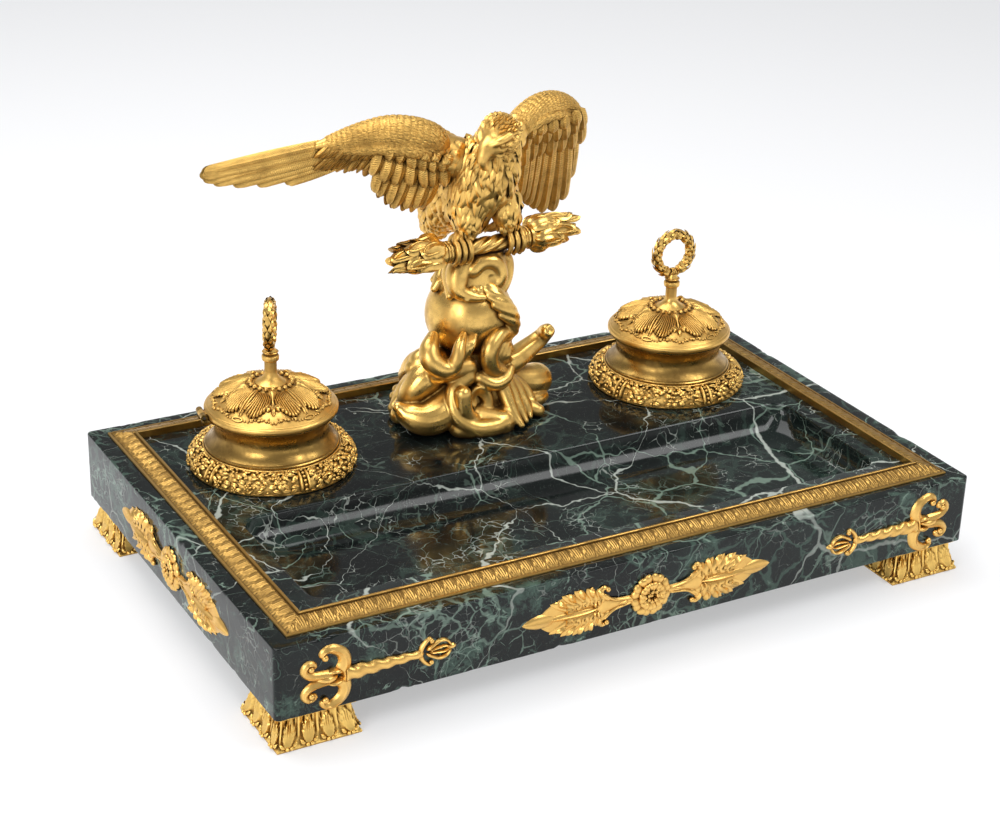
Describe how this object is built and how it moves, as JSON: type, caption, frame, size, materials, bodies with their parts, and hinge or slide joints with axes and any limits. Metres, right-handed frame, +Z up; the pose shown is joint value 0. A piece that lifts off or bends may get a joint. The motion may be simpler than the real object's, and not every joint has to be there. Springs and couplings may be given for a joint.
{
  "type": "desk inkstand",
  "caption": "Desk inkstand: a green marble slab with a carved pen tray, gilt feet and mounts, hinged-lid inkwells and an eagle on a globe.",
  "frame": {"origin": "on the desk, in the middle of the stand's footprint", "axes": "+X along the front to the viewer's right, +Y to the back, +Z up"},
  "size_m": [0.44, 0.2792, 0.251],
  "materials": {
    "marble": "polished dark green marble with pale green clouds and white veins",
    "old_gilt": "worn antique gilding, brown in the hollows",
    "worn_gilt": "worn satin gilding",
    "gilt_bronze": "mercury-gilt bronze, chased, bright on the heights",
    "liner_glass": "clear pressed glass",
    "iron": "plain dark steel"
  },
  "bodies": {
    "stand": {"marble_slab": "marble", "frame_front": "old_gilt", "frame_back": "old_gilt", "frame_left": "old_gilt", "frame_right": "old_gilt", "foot_front_left": "gilt_bronze", "foot_front_right": "gilt_bronze", "foot_back_left": "gilt_bronze", "foot_back_right": "gilt_bronze", "foot_screws": "iron", "front_palmette_left": "gilt_bronze", "front_palmette_right": "gilt_bronze", "front_rosette": "gilt_bronze", "left_palmette_front": "gilt_bronze", "left_palmette_back": "gilt_bronze", "left_rosette": "gilt_bronze", "right_palmette_front": "gilt_bronze", "right_palmette_back": "gilt_bronze", "right_rosette": "gilt_bronze", "torch_left": "gilt_bronze", "torch_right": "gilt_bronze", "left_flange": "gilt_bronze", "left_well_body": "worn_gilt", "left_ink_liner": "liner_glass", "left_well_bolt": "iron", "left_well_nut": "iron", "right_flange": "gilt_bronze", "right_well_body": "worn_gilt", "right_ink_liner": "liner_glass", "right_well_bolt": "iron", "right_well_nut": "iron", "left_hinge_pin": "iron", "right_hinge_pin": "iron", "cloud_base": "gilt_bronze", "globe": "gilt_bronze", "cloud_column": "gilt_bronze", "thunderbolt": "gilt_bronze", "eagle_body": "gilt_bronze", "eagle_wing_left": "gilt_bronze", "eagle_wing_right": "gilt_bronze", "tie_rod": "iron", "tie_nut": "iron"},
    "left_lid": {"left_lid": "gilt_bronze", "left_finial_stem": "gilt_bronze", "left_wreath": "gilt_bronze", "left_finial_nut": "iron"},
    "right_lid": {"right_lid": "gilt_bronze", "right_finial_stem": "gilt_bronze", "right_wreath": "gilt_bronze", "right_finial_nut": "iron"}
  },
  "joints": [
    {"name": "left_lid_hinge", "type": "hinge", "parent": "stand", "child": "left_lid", "pos_m": [-0.17251, 0.06245, 0.0946], "axis": [-0.1392, -0.9903, 0], "range_deg": [0, 100]},
    {"name": "right_lid_hinge", "type": "hinge", "parent": "stand", "child": "right_lid", "pos_m": [0.133, 0.0968, 0.0946], "axis": [-1, 0, 0], "range_deg": [0, 100]}
  ]
}
